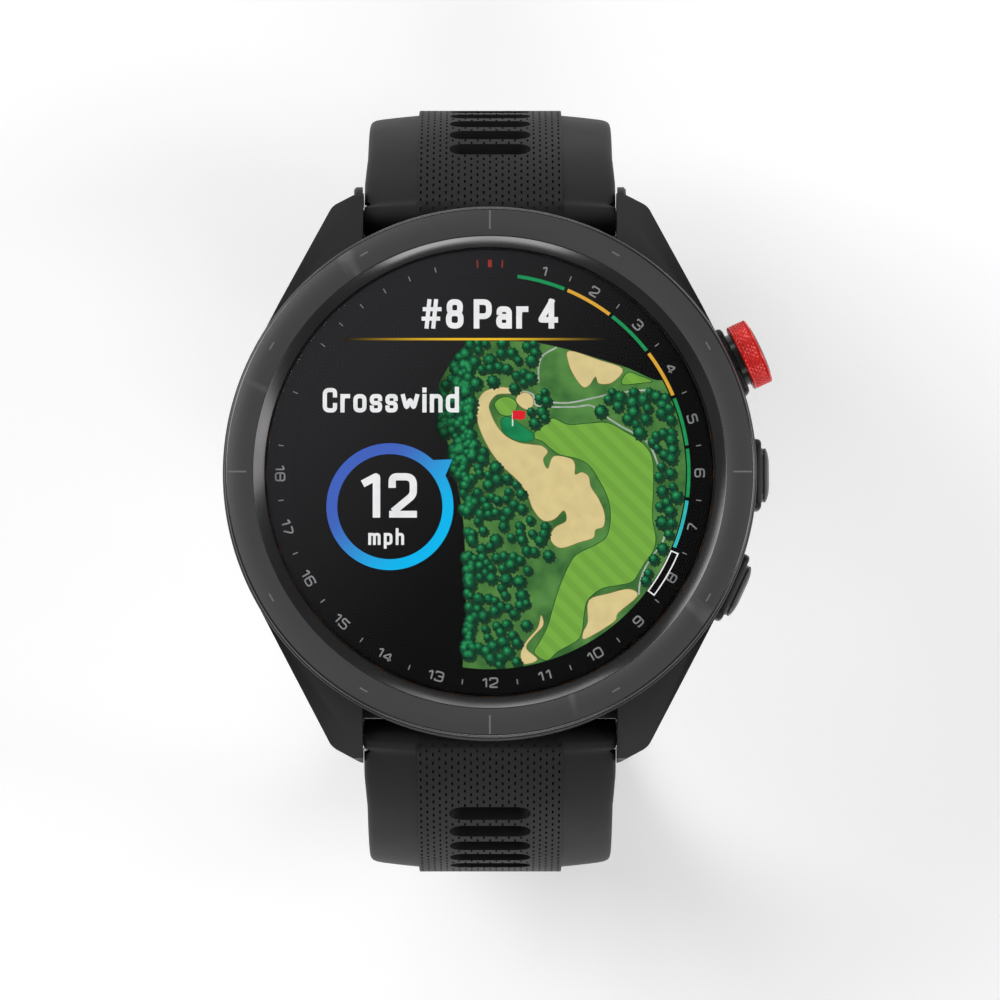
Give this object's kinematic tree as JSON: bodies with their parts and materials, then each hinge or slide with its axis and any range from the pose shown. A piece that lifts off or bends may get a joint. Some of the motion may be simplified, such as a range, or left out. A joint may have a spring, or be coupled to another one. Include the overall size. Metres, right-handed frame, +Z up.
{
  "type": "golf gps watch",
  "caption": "Round golf GPS watch with a touch display, side buttons, and a textured silicone strap with a pin buckle, quick-release bars and keepers.",
  "frame": {"origin": "on the table, on the underside of the long strap half, under the axis of the round case", "axes": "+Z up through the dial, +Y towards 12 o'clock and the buckle half of the strap, +X towards 3 o'clock and the buttons"},
  "size_m": [0.0485, 0.0708, 0.069],
  "materials": {
    "case_black": "satin dark grey",
    "bezel_grey": "satin gunmetal",
    "glass": "polished",
    "display": "printed and lit",
    "seal": "matt",
    "frame_plastic": "matt",
    "copper": "satin",
    "board_green": "solder mask",
    "cell_foil": "satin",
    "steel": "satin",
    "cover_black": "fine matt",
    "gold_contact": "polished",
    "red_ring": "anodised",
    "pusher_metal": "satin",
    "silicone": "satin silicone",
    "buckle_steel": "dark coated"
  },
  "bodies": {
    "case": {"case_body": "case_black", "bezel": "bezel_grey", "bezel_seal": "seal", "lens": "glass", "lens_gasket": "seal", "dial_ring": "display", "display_panel": "display", "inner_frame": "frame_plastic", "antenna_ring": "copper", "main_board": "board_green", "battery": "cell_foil", "vibration_motor": "steel", "barometer": "steel", "back_cover": "cover_black", "back_cover_seal": "seal", "back_screw_1": "steel", "back_screw_2": "steel", "back_screw_3": "steel", "back_screw_4": "steel", "sensor_window": "display", "sensor_board": "board_green", "charge_socket": "cover_black", "charge_contact_1": "gold_contact", "charge_contact_2": "gold_contact", "charge_contact_3": "gold_contact", "charge_contact_4": "gold_contact", "switch_action": "frame_plastic", "switch_menu": "frame_plastic", "switch_back": "frame_plastic"},
    "action_button": {"action_cap": "pusher_metal", "action_ring": "red_ring", "action_neck": "pusher_metal", "action_stem": "steel", "action_seal": "seal", "action_clip": "steel", "action_spring": "steel"},
    "menu_button": {"menu_cap": "pusher_metal", "menu_stem": "steel", "menu_seal": "seal", "menu_clip": "steel", "menu_spring": "steel"},
    "back_button": {"back_cap": "pusher_metal", "back_stem": "steel", "back_seal": "seal", "back_clip": "steel", "back_spring": "steel"},
    "strap_12": {"strap_12": "silicone", "lug_bar_12": "steel", "buckle_pin": "steel", "fixed_keeper": "silicone"},
    "latch_12": {"latch_12": "steel"},
    "buckle": {"buckle_frame": "buckle_steel"},
    "tongue": {"buckle_tongue": "buckle_steel"},
    "free_keeper": {"free_keeper": "silicone"},
    "strap_6": {"strap_6": "silicone", "lug_bar_6": "steel"},
    "latch_6": {"latch_6": "steel"}
  },
  "joints": [
    {"name": "action_button_press", "type": "slide", "parent": "case", "child": "action_button", "axis": [-0.9063, -0.4226, 0], "range_m": [0, 0.0004], "stiffness_N_per_m": 400, "springref_m": -0.0004, "deforming": ["action_spring"]},
    {"name": "menu_button_press", "type": "slide", "parent": "case", "child": "menu_button", "axis": [-1, 0, 0], "range_m": [0, 0.0004], "stiffness_N_per_m": 400, "springref_m": -0.0004, "deforming": ["menu_spring"]},
    {"name": "back_button_press", "type": "slide", "parent": "case", "child": "back_button", "axis": [-0.9063, 0.4226, 0], "range_m": [0, 0.0004], "stiffness_N_per_m": 400, "springref_m": -0.0004, "deforming": ["back_spring"]},
    {"name": "strap_12_swing", "type": "hinge", "parent": "case", "child": "strap_12", "pos_m": [0, 0.0236, 0.0589], "axis": [1, 0, 0], "range_deg": [-8, 45]},
    {"name": "latch_12_slide", "type": "slide", "parent": "strap_12", "child": "latch_12", "axis": [-1, 0, 0], "range_m": [0, 0.0015], "stiffness_N_per_m": 300, "springref_m": -0.001},
    {"name": "buckle_swing", "type": "hinge", "parent": "strap_12", "child": "buckle", "pos_m": [0, 0.01718, 0.01579], "axis": [1, 0, 0], "range_deg": [-45, 40]},
    {"name": "tongue_swing", "type": "hinge", "parent": "buckle", "child": "tongue", "pos_m": [0, 0.01718, 0.01579], "axis": [1, 0, 0], "range_deg": [0, 65]},
    {"name": "free_keeper_travel", "type": "hinge", "parent": "strap_12", "child": "free_keeper", "pos_m": [0, 0.01494, 0.03439], "axis": [-1, 0, 0], "range_deg": [-22, 4]},
    {"name": "strap_6_swing", "type": "hinge", "parent": "case", "child": "strap_6", "pos_m": [0, -0.0236, 0.0589], "axis": [-1, 0, 0], "range_deg": [0, 45]},
    {"name": "latch_6_slide", "type": "slide", "parent": "strap_6", "child": "latch_6", "axis": [-1, 0, 0], "range_m": [0, 0.0015], "stiffness_N_per_m": 300, "springref_m": -0.001}
  ]
}
